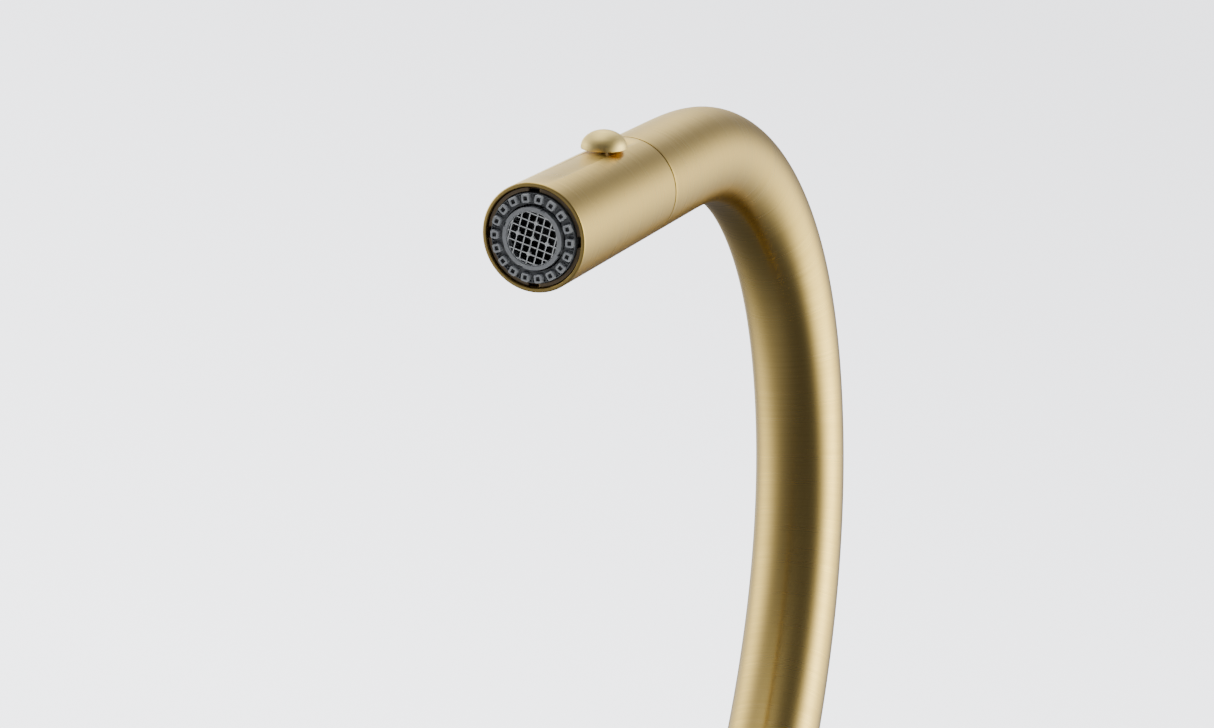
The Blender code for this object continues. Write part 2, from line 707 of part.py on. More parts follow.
def build_lever(brass, steel, accent):
    """The ball-shaped handle with its slim pin, drawn around the cartridge's pivot."""
    tilted = frame("lever_frame", (PIVOT, 0, ARM_HEIGHT), (0, 90 - STEM_TILT, 0))
    stem = turned(
        "cartridge_stem",
        [
            (0, -STEM_TAIL), (1.2, -STEM_TAIL), (1.7, 0.5 - STEM_TAIL), (1.7, -6.5), (STEM_RADIUS, -5.0),
            (STEM_RADIUS, 14.2), (0, 14.2),
        ],
        steel, tilted, SMALL,
    )
    across = frame("stem_pin_frame", (PIVOT, 0, ARM_HEIGHT), (90, 0, 0))
    cut(stem, rod("stem_pin_hole", 1.55, -6, 6, None, across, 12))

    stages = 5
    edge = 3.0
    outer = ball_arc(CUP_RADIUS, 0.0, math.acos(edge / CUP_RADIUS), stages)
    inner = ball_arc(
        CUP_INSIDE, math.acos(edge / CUP_INSIDE), math.asin(CUP_NECK / CUP_INSIDE), stages
    )
    bore = STEM_RADIUS + 0.2
    cup = turned(
        "handle_cup",
        [*outer, *inner, (CUP_NECK, 6.5), (bore, 6.5), (bore, 14.6), (0, 14.6)],
        brass, tilted, LARGE,
    )
    pin_frame = frame("lever_pin_frame", (PIVOT, 0, ARM_HEIGHT), (0, LEVER_LEAN, 0))
    join(cup, rod("pin_boss", 4.4, 16.0, 18.3, None, pin_frame, SMALL))
    cut(cup, rod("pin_thread_hole", 2.3, 14.5, 20, None, pin_frame, 12))
    tilt = math.radians(STEM_TILT)
    screw_place = (PIVOT + GRUB_PLACE * math.cos(tilt), 0, ARM_HEIGHT + GRUB_PLACE * math.sin(tilt))
    screw_frame = frame("handle_screw_frame", screw_place, (0, 180 - STEM_TILT, 0))
    cut(cup, rod("handle_screw_hole", 2.1, 2.0, 16, None, screw_frame, 12))

    turned(
        "lever_pin",
        [
            (0, 15.9), (2.0, 15.9), (2.0, 18.6), (3.4, 18.6), (3.4, LEVER_REACH - 0.8),
            (2.6, LEVER_REACH), (0, LEVER_REACH),
        ],
        brass, pin_frame, SMALL,
    )
    grub = rod("handle_grub_screw", 1.85, 3.3, 8.0, steel, screw_frame, 12)
    cut(grub, rod("grub_hex", 1.0, 6.2, 10, None, screw_frame, 6))
    rod("index_plug", 1.85, 9.0, 11.4, accent, screw_frame, 12)


def main():
    clear_scene()
    brass = finish_material("brushed_brass", (0.62, 0.45, 0.22), 1.0, 0.32)
    bronze = finish_material("dark_bronze", (0.10, 0.075, 0.045), 1.0, 0.45)
    silicone = finish_material("grey_silicone", (0.21, 0.22, 0.23), 0.0, 0.6)
    grey = finish_material("grey_plastic", (0.23, 0.24, 0.25), 0.0, 0.5)
    white = finish_material("white_plastic", (0.78, 0.78, 0.76), 0.0, 0.45)
    black = finish_material("black_plastic", (0.02, 0.02, 0.022), 0.0, 0.5)
    rubber = finish_material("black_rubber", (0.03, 0.03, 0.03), 0.0, 0.7)
    steel = finish_material("stainless_steel", (0.55, 0.55, 0.56), 1.0, 0.3)
    magnet = finish_material("sintered_magnet", (0.12, 0.12, 0.13), 0.6, 0.5)
    ceramic = finish_material("ceramic", (0.85, 0.84, 0.80), 0.0, 0.2)
    copper = finish_material("copper", (0.72, 0.36, 0.22), 1.0, 0.35)
    braid = finish_material("nylon_braid", (0.16, 0.16, 0.17), 0.0, 0.6)
    accent = finish_material("index_plastic", (0.45, 0.33, 0.16), 0.8, 0.4)

    dock = frame("dock_frame", RIM, (HEAD_PITCH - 90, 0, 0))
    head = frame("head_frame", (0, 0, 0), (0, 0, HEAD_ROLL), dock)
    arm = frame("arm_frame", (0, 0, ARM_HEIGHT), (0, 90, 0))

    build_spray_head(head, brass, bronze, silicone, grey, white, black, rubber, steel)
    build_diverter(head, brass, grey, rubber, steel)
    build_hose(dock, brass, steel, braid)
    build_spout(dock, brass, grey, magnet, white, steel)
    build_spout_hose(braid, brass)
    build_body(arm, brass, rubber, white)
    build_tails(copper)
    build_deck_fixing(brass, rubber, steel)
    build_cartridge(arm, brass, white, ceramic, rubber, grey, steel)
    build_lever(brass, steel, accent)
    bpy.context.view_layer.update()


main()
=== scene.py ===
"""The mixer tap's finished surfaces: fine turned and swept brass, the spray face, and its finishes.

Outlines are in millimetres, in the frame of the sub-part that they belong to. +Z is up, the spout lies
in the plane x = 0 with its foot on the Z axis, and the spray head points towards -Y.
"""

import json
import math

import bmesh
import bpy
import numpy as np
from mathutils import Matrix, Vector

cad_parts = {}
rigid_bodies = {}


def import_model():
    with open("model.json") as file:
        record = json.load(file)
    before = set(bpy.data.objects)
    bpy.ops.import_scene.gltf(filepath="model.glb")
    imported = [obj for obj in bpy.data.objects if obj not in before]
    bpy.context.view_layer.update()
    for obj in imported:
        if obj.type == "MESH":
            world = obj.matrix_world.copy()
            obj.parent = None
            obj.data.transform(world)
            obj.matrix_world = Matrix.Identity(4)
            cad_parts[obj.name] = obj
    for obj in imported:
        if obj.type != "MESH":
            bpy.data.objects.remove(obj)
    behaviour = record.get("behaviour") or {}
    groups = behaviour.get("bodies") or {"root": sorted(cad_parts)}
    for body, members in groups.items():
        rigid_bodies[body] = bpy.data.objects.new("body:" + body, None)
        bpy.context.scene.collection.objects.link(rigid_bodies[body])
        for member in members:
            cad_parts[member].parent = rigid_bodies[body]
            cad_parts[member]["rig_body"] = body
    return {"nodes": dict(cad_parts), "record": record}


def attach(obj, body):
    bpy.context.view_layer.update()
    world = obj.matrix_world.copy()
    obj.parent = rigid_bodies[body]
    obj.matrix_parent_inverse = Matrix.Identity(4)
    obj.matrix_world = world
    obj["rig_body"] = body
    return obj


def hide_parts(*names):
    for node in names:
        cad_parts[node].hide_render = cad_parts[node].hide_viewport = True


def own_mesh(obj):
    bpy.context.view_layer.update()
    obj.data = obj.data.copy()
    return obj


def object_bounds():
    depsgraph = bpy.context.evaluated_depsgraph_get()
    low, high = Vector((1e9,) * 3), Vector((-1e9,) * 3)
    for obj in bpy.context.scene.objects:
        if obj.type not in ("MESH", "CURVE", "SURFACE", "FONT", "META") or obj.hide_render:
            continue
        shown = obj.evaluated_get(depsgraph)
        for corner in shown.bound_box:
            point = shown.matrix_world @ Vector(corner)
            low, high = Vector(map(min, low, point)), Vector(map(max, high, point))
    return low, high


MM = 0.001
X_AXIS = Vector((1, 0, 0))

# The tube that the spout and the spray head share
TUBE_RADIUS = 17.0
TUBE_BORE = 15.8
HEAD_LENGTH = 73.0
SEAM = 0.7
HEAD_PITCH = 17.0
HEAD_ROLL = 8.5

# Centre line, from the head's rim back over the crown and down to the foot
FRONT_STRAIGHT = 105.0
CROWN_EASE = 41.0
CROWN_ARC = 92.0
CROWN_RADIUS = 86.0
BACK_LENGTH = 141.0
BACK_RADIUS = 147.0
BACK_END_RADIUS = 317.0
FOOT_EASE_IN = 30.0
FOOT_EASE_OUT = 24.0
FOOT_RADIUS = 80.0
FOOT_STRAIGHT = 17.0
SPOUT_FOOT = 55.0
STOP_HEIGHT = 62.0
STOP_SWING = 72.0
STOP_WAY = 2.2

# Body, deck fixing and hose
COLUMN_RADIUS = 20.0
COLUMN_FOOT = 4.8
COLUMN_TOP = 54.0
NOSE_RADIUS = 12.4
NOSE_TOP = 70.0
FLANGE_RADIUS = 26.0
FLANGE_THICKNESS = 4.5
SHANK_RADIUS = 16.5
SHANK_BORE = 13.5
SHANK_END = -62.0
SHANK_TOP = 14.3
SOCKET_TOP = 14.6
THREAD_PITCH = 1.5
THREAD_DEPTH = 0.55
DECK_THICKNESS = 20.0
HOSE_WAY = 6.5
HOSE_RADIUS = 5.5
CONNECTOR_BORE = 2.6
FRONT_RUN_END = 140.0
TAIL_CIRCLE = 9.7
TAIL_SPREAD = 50.0
TAIL_RADIUS = 3.3
TAIL_BORE = 2.1

# Side arm and lever
ARM_HEIGHT = 32.0
ARM_RADIUS = 17.0
ARM_END = 36.0
ARM_BORE = 13.1
SEAT = 15.5
PIVOT = 38.0
STEM_TILT = 12.5
STEM_RADIUS = 3.0
COVER_OUTSIDE = 15.1
COVER_INSIDE = 14.1
COVER_OPENING = 58.0
CUP_RADIUS = 17.0
CUP_INSIDE = 15.5
CUP_NECK = 6.2
GRUB_PLACE = 12.6
LEVER_LEAN = 18.0
LEVER_REACH = 80.0

# Spray face and diverter knob
SHELL_BORE = 15.6
LIP_ROLL = 0.55
KEY_CIRCLE = 14.8
NOZZLES = 18
NOZZLE_CIRCLE = 12.4
NOZZLE_SIZE = 2.7
NOZZLE_HOLE = 1.3
NOZZLE_ROOT = 0.8
NOZZLE_TIP = -1.2
THROAT = -0.6
PAD_RADIUS = 13.9
FRAME_RADIUS = 9.76
MESH_RADIUS = 8.45
MESH_PITCH = 2.49
MESH_TURN = 14.0
BAR_WIDTH = 0.28
KNOB_PLACE = 52.9
KNOB_RADIUS = 7.4
KNOB_FOOT = 17.4
KNOB_TOP = 23.2
KNOB_LAND = 0.3
KNOB_WAY = 4.2
SPRING_LOW = 1.5
SPRING_HIGH = 9.0
SPRING_TURNS = 4
SPRING_RADIUS = 2.6
SPRING_WIRE = 0.3

# Where the photograph was taken from
CAMERA_AZIMUTH = 24.455
CAMERA_ELEVATION = -1.473
CAMERA_FROM_RIM = (315.6, -640.3, -56.1)
LENS = 70.65

# The dark and the light of a finish's grain
BRASS = ((0.67, 0.465, 0.135), (0.76, 0.535, 0.165))
# The knob's brass, lighter than BRASS as a painted highlight on its dome.
KNOB_BRASS_PAINTED_HIGHLIGHT = ((0.88, 0.67, 0.25), (0.94, 0.73, 0.29))
BRAID = ((0.03, 0.03, 0.033), (0.22, 0.22, 0.23))
BRAID_STRANDS = 23

# The room's light, and the soft lights round it
ROOM_LIGHT = 0.085
SOFT_LIGHTS = (  # azimuth to the camera's right, elevation, sharpness, strength
    (106, -5, 6.4, 2.6),
    (90, 11, 24, 4.6),
    (77, -16, 18, 2.8),
    (-114, 17, 9, 2.5),
    (-93, -3, 5.5, 0.5),
    (-164, 17, 38, 4.6),
    (179, 56, 17, 2.9),
    (-60, 78, 12, 2.3),
    (-49, -33, 8, 0.13),
)
OVERHEAD_LIGHT = 160
OVERHEAD_HEIGHT = 2.2
FLOOR_RADIUS = 1.6

# Sides of the turned pieces
FINE = 128
MEDIUM = 64
SMALL = 48


def spout_stretches():
    """(length, curvature at its start, curvature at its end) from the rim to the foot."""
    crown, back, back_end, foot = (
        1 / CROWN_RADIUS,
        1 / BACK_RADIUS,
        1 / BACK_END_RADIUS,
        -1 / FOOT_RADIUS,
    )
    stretches = [
        (FRONT_STRAIGHT, 0, 0),
        (CROWN_EASE, 0, crown),
        (CROWN_ARC, crown, crown),
        (CROWN_EASE, crown, back),
        (BACK_LENGTH, back, back_end),
        (FOOT_EASE_IN, back_end, foot),
    ]
    bent = sum(length * (first + last) / 2 for length, first, last in stretches)
    left = math.radians(HEAD_PITCH + 90) - bent - FOOT_EASE_OUT * foot / 2
    return stretches + [(left / foot, foot, foot), (FOOT_EASE_OUT, foot, 0), (FOOT_STRAIGHT, 0, 0)]


def centre_line():
    """Distance from the rim, y, z and pitch along the spout, with the foot on the swivel axis."""
    ends, curvatures = [0.0], [0.0]
    for length, first, last in spout_stretches():
        ends += [ends[-1] + 1e-9, ends[-1] + length]
        curvatures += [first, last]
    distance = np.linspace(0, ends[-1], 2001)
    step = distance[1]
    curvature = np.interp(distance, ends, curvatures)
    bend = np.concatenate([[0], np.cumsum((curvature[1:] + curvature[:-1]) / 2) * step])
    pitch = math.radians(HEAD_PITCH) - bend
    middle = (pitch[1:] + pitch[:-1]) / 2
    y = np.concatenate([[0], np.cumsum(np.cos(middle)) * step])
    z = np.concatenate([[0], np.cumsum(np.sin(middle)) * step])
    return distance, y - y[-1], z - z[-1] + SPOUT_FOOT, pitch


def on_line(distance):
    """The centre line's point at a distance from the rim, and the direction that faces out of the bend."""
    y, z, pitch = (float(np.interp(distance, LINE[0], values)) for values in LINE[1:])
    return Vector((0, y, z)), Vector((0, -math.sin(pitch), math.cos(pitch)))


def placed(place, x=0.0, y=0.0, z=0.0):
    """A frame at a place in millimetres, turned about X, then Y, then Z, in degrees."""
    turn = Matrix.Rotation(math.radians(z), 4, "Z") @ Matrix.Rotation(math.radians(y), 4, "Y")
    return Matrix.Translation(place) @ turn @ Matrix.Rotation(math.radians(x), 4, "X")


LINE = centre_line()
SPOUT_LENGTH = float(LINE[0][-1])
RIM = Vector((0.0, float(LINE[1][0]), float(LINE[2][0])))
BASE = Matrix.Identity(4)
DOCK = placed(RIM, x=HEAD_PITCH - 90)
HEAD = DOCK @ placed((0, 0, 0), z=HEAD_ROLL)
KNOB = HEAD @ placed((0, 0, KNOB_PLACE), x=90)
ARM = placed((0, 0, ARM_HEIGHT), y=90)
LEVER = placed((PIVOT, 0, ARM_HEIGHT), y=90 - STEM_TILT)
PIN = placed((PIVOT, 0, ARM_HEIGHT), y=LEVER_LEAN)
STOP = placed((0, 0, STOP_HEIGHT), x=-90)


# ---------------------------------------------------------------- materials


class Nodes:
    """A short way to write a shader's nodes."""

    def __init__(self, tree):
        self.tree = tree

    def add(self, kind, settings=None, **inputs):
        node = self.tree.nodes.new(kind)
        for key, value in (settings or {}).items():
            setattr(node, key, value)
        for key, value in inputs.items():
            numbered = key[0] == "i" and key[1:].isdigit()
            socket = node.inputs[int(key[1:]) if numbered else key.replace("_", " ")]
            if isinstance(value, bpy.types.NodeSocket):
                self.tree.links.new(value, socket)
            else:
                socket.default_value = value
        return node

    def worked_out(self, operation, *values):
        """The result of a sum on one to three values."""
        inputs = {f"i{index}": value for index, value in enumerate(values)}
        return self.add("ShaderNodeMath", {"operation": operation}, **inputs).outputs[0]

    def noise(self, coordinates, scale, detail=2.0, roughness=0.5):
        made = self.add(
            "ShaderNodeTexNoise", Vector=coordinates, Scale=scale, Detail=detail, Roughness=roughness
        )
        return made.outputs["Fac"]

    def ramp(self, value, first, last):
        """Noise or another value from 0 to 1, spread from one number to another."""
        made = self.add(
            "ShaderNodeMapRange", Value=value, From_Min=0.3, From_Max=0.7, To_Min=first, To_Max=last
        )
        return made.outputs["Result"]

    def colours(self, value, dark, light):
        made = self.add(
            "ShaderNodeMix", {"data_type": "RGBA"}, i0=value, i6=(*dark, 1), i7=(*light, 1)
        )
        return made.outputs[2]

    def stretched(self, coordinates, scales):
        made = self.add("ShaderNodeVectorMath", {"operation": "MULTIPLY"}, i0=coordinates, i1=scales)
        return made.outputs["Vector"]

    def bump(self, height, strength, depth):
        """Fine relief, with its depth in millimetres."""
        made = self.add("ShaderNodeBump", Height=height, Strength=strength, Distance=depth * MM)
        return made.outputs["Normal"]


def new_material(name):
    material = bpy.data.materials.new(name)
    material.use_nodes = True
    shader = material.node_tree.nodes["Principled BSDF"]
    return material, Nodes(material.node_tree), shader


def brushed(name, dark, light, roughness, anisotropy=0.65, depth=0.012):
    """Metal brushed round the piece: the grain lines follow its turns, and gloss spreads across them."""
    material, nodes, shader = new_material(name)
    grain = nodes.add("ShaderNodeAttribute", {"attribute_name": "grain"}).outputs["Vector"]
    fine = nodes.noise(nodes.stretched(grain, (3400, 26, 26)), 1.0, 2.0, 0.6)
    broad = nodes.noise(nodes.stretched(grain, (620, 14, 14)), 1.0, 2.0, 0.6)
    lines = nodes.worked_out("MULTIPLY", nodes.worked_out("ADD", fine, broad), 0.5)
    links = material.node_tree.links
    links.new(nodes.colours(nodes.ramp(lines, 0.0, 1.0), dark, light), shader.inputs["Base Color"])
    links.new(nodes.ramp(lines, roughness + 0.05, roughness - 0.05), shader.inputs["Roughness"])
    links.new(nodes.bump(lines, 0.35, depth), shader.inputs["Normal"])
    tangent = nodes.add("ShaderNodeTangent", {"direction_type": "UV_MAP", "uv_map": "brush"})
    links.new(tangent.outputs["Tangent"], shader.inputs["Tangent"])
    shader.inputs["Metallic"].default_value = 1.0
    shader.inputs["Anisotropic"].default_value = anisotropy
    return material


def moulded(name, dark, light, roughness, pore=0.25, depth=0.01, metallic=0.0, flow=40.0):
    """Plastic, rubber, ceramic or a machined metal: fine pores or grains over slow changes of tone."""
    material, nodes, shader = new_material(name)
    place = nodes.add("ShaderNodeTexCoord").outputs["Object"]
    pores = nodes.noise(place, 1 / (pore * MM), 3.0, 0.6)
    tone = nodes.noise(place, flow, 2.0, 0.5)
    mixed = nodes.worked_out("MULTIPLY", nodes.worked_out("ADD", pores, tone), 0.5)
    links = material.node_tree.links
    links.new(nodes.colours(nodes.ramp(mixed, 0.0, 1.0), dark, light), shader.inputs["Base Color"])
    links.new(nodes.ramp(pores, roughness - 0.06, roughness + 0.06), shader.inputs["Roughness"])
    links.new(nodes.bump(pores, 0.4, depth), shader.inputs["Normal"])
    shader.inputs["Metallic"].default_value = metallic
    return material


def braided(name, upright=False):
    """Nylon braid: two families of diagonal strands, by the brush UV or, upright, by height and angle."""
    material, nodes, shader = new_material(name)
    if upright:
        place = nodes.add("ShaderNodeTexCoord").outputs["Object"]
        spot = nodes.add("ShaderNodeSeparateXYZ", Vector=place)
        turn = nodes.worked_out("ARCTAN2", spot.outputs["Y"], spot.outputs["X"])
        across = nodes.worked_out("MULTIPLY", turn, HOSE_RADIUS * MM)
        along = spot.outputs["Z"]
    else:
        uv = nodes.add("ShaderNodeUVMap", {"uv_map": "brush"}).outputs["UV"]
        parts = nodes.add("ShaderNodeSeparateXYZ", Vector=uv)
        along, across = parts.outputs["X"], parts.outputs["Y"]
    strand = math.tau * HOSE_RADIUS / BRAID_STRANDS
    waves = []
    for sign in (1.0, -1.0):
        slant = nodes.worked_out("MULTIPLY_ADD", across, sign, along)
        phase = nodes.worked_out("MULTIPLY", slant, math.tau / (strand * MM))
        waves.append(nodes.worked_out("SINE", phase))
    height = nodes.worked_out("MAXIMUM", *waves)
    tone = nodes.add("ShaderNodeMapRange", Value=height, From_Min=-0.6, From_Max=1.0).outputs["Result"]
    links = material.node_tree.links
    links.new(nodes.colours(tone, *BRAID), shader.inputs["Base Color"])
    links.new(nodes.bump(tone, 0.8, 0.25), shader.inputs["Normal"])
    shader.inputs["Roughness"].default_value = 0.55
    return material


def make_materials():
    """One finish for each of the record's slots."""
    return {
        "brushed_brass": brushed("brushed_brass", *BRASS, 0.3),
        "dark_bronze": brushed("dark_bronze", (0.26, 0.20, 0.12), (0.33, 0.25, 0.15), 0.45, 0.3),
        "grey_silicone": moulded("grey_silicone", (0.155, 0.162, 0.172), (0.185, 0.193, 0.205), 0.55),
        "grey_plastic": moulded("grey_plastic", (0.13, 0.135, 0.143), (0.155, 0.162, 0.172), 0.5),
        "black_plastic": moulded("black_plastic", (0.012, 0.012, 0.013), (0.022, 0.022, 0.024), 0.6),
        "white_plastic": moulded("white_plastic", (0.70, 0.70, 0.68), (0.80, 0.80, 0.78), 0.4),
        "black_rubber": moulded("black_rubber", (0.018, 0.018, 0.018), (0.035, 0.035, 0.035), 0.65),
        "stainless_steel": moulded(
            "stainless_steel", (0.50, 0.50, 0.51), (0.62, 0.62, 0.63), 0.28, pore=0.5, metallic=1.0
        ),
        "sintered_magnet": moulded(
            "sintered_magnet", (0.09, 0.09, 0.095), (0.16, 0.16, 0.17), 0.5, metallic=0.6
        ),
        "ceramic": moulded("ceramic", (0.82, 0.80, 0.76), (0.88, 0.87, 0.84), 0.18, depth=0.003),
        "copper": brushed("copper", (0.66, 0.32, 0.19), (0.80, 0.42, 0.27), 0.3, 0.3),
        "nylon_braid": braided("nylon_braid"),
        "index_plastic": moulded(
            "index_plastic", (0.40, 0.29, 0.14), (0.50, 0.37, 0.19), 0.35, metallic=0.8
        ),
    }


def machined_brass():
    """Plain turned brass, for the inner pieces that carry no brush UV."""
    return moulded("machined_brass", (0.66, 0.46, 0.135), (0.75, 0.53, 0.165), 0.3, pore=0.4, metallic=1.0)


# ---------------------------------------------------------------- meshes


def rounded(outline, radius, steps=3, closed=True):
    """The outline with each corner as an arc, and a point just before and after it to keep flats flat."""
    points = [Vector(point) for point in outline]
    count, made = len(points), []
    for index, corner in enumerate(points):
        if not closed and index in (0, count - 1):
            made.append(corner)
            continue
        before, after = points[index - 1] - corner, points[(index + 1) % count] - corner
        spread = before.angle(after)
        if spread > math.radians(172):
            made.append(corner)
            continue
        reach = min(radius / math.tan(spread / 2), before.length * 0.42, after.length * 0.42)
        start, end = corner + before.normalized() * reach, corner + after.normalized() * reach
        guard = reach * 0.12
        made.append(start + before.normalized() * guard)
        for step in range(steps + 1):
            t = step / steps
            made.append(start * (1 - t) ** 2 + corner * 2 * t * (1 - t) + end * t**2)
        made.append(end + after.normalized() * guard)
    return made


def arc(radius, first, last, steps, centre=0.0):
    """Points (radius from the axis, height) of a ball's outline about a centre on the axis, in degrees."""
    angles = [math.radians(first + (last - first) * step / steps) for step in range(steps + 1)]
    return [(radius * math.sin(a), centre + radius * math.cos(a)) for a in angles]


def ring_angles(sides):
    return [math.tau * side / sides for side in range(sides)]


def skin(shape, rows, lengths, around, closed_rows):
    """Faces between rings of points. The brush UV runs along the rows' length, then round each ring."""
    uv = shape.loops.layers.uv.get("brush") or shape.loops.layers.uv.new("brush")
    grain = shape.verts.layers.float_vector.get("grain") or shape.verts.layers.float_vector.new("grain")
    made = []
    for row, length in zip(rows, lengths):
        ring = []
        for step, point in enumerate(row):
            spot = shape.verts.new(point)
            angle = math.tau * step / len(row)
            spot[grain] = (length * MM, around * MM * math.cos(angle), around * MM * math.sin(angle))
            ring.append(spot)
        made.append(ring)
    sides = len(rows[0])
    pairs = list(range(len(rows) - 1)) + ([len(rows) - 1] if closed_rows else [])
    for index in pairs:
        after = (index + 1) % len(rows)
        begin, finish = lengths[index], lengths[after] if after else lengths[-1] + 1.0
        for step in range(sides):
            beside = (step + 1) % sides
            face = shape.faces.new(
                (made[index][step], made[index][beside], made[after][beside], made[after][step])
            )
            corners = ((begin, step), (begin, step + 1), (finish, step + 1), (finish, step))
            for loop, (along, turn) in zip(face.loops, corners):
                loop[uv].uv = (along * MM, turn * math.tau / sides * around * MM)


def body_of(node):
    return frame["nodes"][node]["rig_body"]


def settle(piece, body, nodes):
    """The piece rides on a body and stands for the CAD nodes named."""
    if body:
        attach(piece, body)
    if nodes:
        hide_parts(*nodes)


def finish_mesh(name, shape, matrix, body, material, nodes=(), smooth=40):
    """The bmesh, in millimetres in its own frame, as a piece that rides on a body."""
    bmesh.ops.remove_doubles(shape, verts=shape.verts, dist=1e-5)
    bmesh.ops.transform(shape, matrix=Matrix.Scale(MM, 4) @ matrix, verts=shape.verts)
    bmesh.ops.recalc_face_normals(shape, faces=shape.faces)
    mesh = bpy.data.meshes.new(name)
    shape.to_mesh(mesh)
    shape.free()
    mesh.shade_smooth()
    mesh.set_sharp_from_angle(angle=math.radians(smooth))
    mesh.materials.append(material)
    piece = bpy.data.objects.new(name, mesh)
    bpy.context.scene.collection.objects.link(piece)
    settle(piece, body, nodes)
    return piece


def turned_shape(outline, sides, closed=True):
    """A bmesh turned about Z from (radius, height) points."""
    shape = bmesh.new()
    points = [Vector(point) for point in outline]
    gaps = [0.0] + [(b - a).length for a, b in zip(points, points[1:])]
    lengths = list(np.cumsum(gaps))
    around = max(point.x for point in points)
    angles = ring_angles(sides)
    rows = [[(p.x * math.cos(angle), p.x * math.sin(angle), p.y) for angle in angles] for p in points]
    skin(shape, rows, lengths, around, closed)
    bmesh.ops.dissolve_degenerate(shape, dist=1e-5, edges=shape.edges)
    return shape


def turned(node, outline, matrix, slot, edge=0.15, sides=MEDIUM, cutters=(), joined=()):
    """The fine piece that stands for a turned CAD node."""
    solid = outline[0][0] == 0 and outline[-1][0] == 0
    points = rounded(outline, edge, closed=not solid)
    shape = turned_shape(points, sides, closed=not solid)
    piece = finish_mesh(f"{node}_fine", shape, matrix, None, MATERIALS[slot])
    carve(piece, joined, "UNION")
    carve(piece, cutters, "DIFFERENCE")
    settle(piece, body_of(node), (node,))


def helper(shape, matrix):
    """A shape that only cuts or joins another."""
    return finish_mesh("helper", shape, matrix, None, MATERIALS["brushed_brass"])


def rod_shape(radius, low, high, sides=SMALL, edge=0.0):
    outline = [(0, low), (radius, low), (radius, high), (0, high)]
    return turned_shape(rounded(outline, edge, closed=False) if edge else outline, sides, closed=False)


def carve(piece, others, operation):
    """Cuts the other shapes from the piece, or joins them to it, for good. It works in millimetres."""
    for other in others:
        for each in (piece, other):
            each.data.transform(Matrix.Scale(1 / MM, 4))
        change = piece.modifiers.new("change", "BOOLEAN")
        change.operation = operation
        change.solver = "EXACT"
        change.object = other
        graph = bpy.context.evaluated_depsgraph_get()
        mesh = bpy.data.meshes.new_from_object(piece.evaluated_get(graph))
        mesh.transform(Matrix.Scale(MM, 4))
        piece.modifiers.clear()
        piece.data = mesh
        bpy.data.objects.remove(other)


def ring_outline(bore, radius, low, high):
    return [(bore, low), (radius, low), (radius, high), (bore, high)]


def square_outline(size, corner, steps=3):
    """A square with round corners, in order round its centre."""
    half = size / 2 - corner
    points = []
    for quarter in range(4):
        middle = math.radians(45 + 90 * quarter)
        centre = Vector((math.copysign(half, math.cos(middle)), math.copysign(half, math.sin(middle))))
        for step in range(steps + 1):
            angle = math.radians(90 * quarter + 90 * step / steps)
            points.append(centre + corner * Vector((math.cos(angle), math.sin(angle))))
    return points


def circle_places(radius, count, start=0.0):
    angles = [math.radians(start) + math.tau * step / count for step in range(count)]
    return [(radius * math.cos(angle), radius * math.sin(angle), angle) for angle in angles]


def prism(shape, loops, x, y, turn, closed=False):
    """A lofted wall through (outline, height) loops, set at a place and turned; closed joins its ends."""
    uv = shape.loops.layers.uv.get("brush") or shape.loops.layers.uv.new("brush")
    rings = []
    for outline, height in loops:
        ring = []
        for point in outline:
            spot = Matrix.Rotation(turn, 2) @ point
            ring.append(shape.verts.new((x + spot.x, y + spot.y, height)))
        rings.append(ring)
    for first, second in zip(rings, rings[1:] + (rings[:1] if closed else [])):
        for step in range(len(first)):
            beside = (step + 1) % len(first)
            face = shape.faces.new((first[step], first[beside], second[beside], second[step]))
            for loop in face.loops:
                loop[uv].uv = loop.vert.co.xy * MM
    return rings


def block(shape, low, high, turn=0.0, x=0.0, y=0.0):
    """A box between two corners, turned about Z and moved."""
    made = bmesh.ops.create_cube(shape, size=1)["verts"]
    for corner in made:
        for axis in range(3):
            corner.co[axis] = high[axis] if corner.co[axis] > 0 else low[axis]
    bmesh.ops.rotate(shape, verts=made, cent=(0, 0, 0), matrix=Matrix.Rotation(turn, 3, "Z"))
    bmesh.ops.translate(shape, verts=made, vec=(x, y, 0))


# ---------------------------------------------------------------- spray head


def build_head_shell():
    """The lip rolls over outside; the back edge that meets the tube is nearly sharp."""
    lip = [
        (TUBE_RADIUS - LIP_ROLL + LIP_ROLL * math.sin(angle), LIP_ROLL - LIP_ROLL * math.cos(angle))
        for angle in [math.radians(15 * step) for step in range(7)]
    ]
    outline = [
        (SHELL_BORE, 0.6), (SHELL_BORE + 0.15, 0.1), (SHELL_BORE + 0.3, 0.0), *lip, (TUBE_RADIUS, 0.62),
        (TUBE_RADIUS, HEAD_LENGTH - 0.08), (TUBE_RADIUS - 0.06, HEAD_LENGTH), (SHELL_BORE, HEAD_LENGTH),
    ]
    way = helper(rod_shape(KNOB_WAY, 10, 20), KNOB)
    turned("head_shell", outline, HEAD, "brushed_brass", edge=0.04, sides=FINE, cutters=[way])


def build_face_retainer():
    """The bronze ring that holds the pad, with four square notches for a key."""
    keys = bmesh.new()
    for x, y, turn in circle_places(KEY_CIRCLE, 4):
        block(keys, (-1.7, -1.7, 0.2), (1.7, 1.7, 2.6), turn, x, y)
    outline = ring_outline(PAD_RADIUS + 0.3, 15.35, 0.9, 6.5)
    turned("face_retainer", outline, HEAD, "dark_bronze", 0.08, FINE, cutters=[helper(keys, HEAD)])


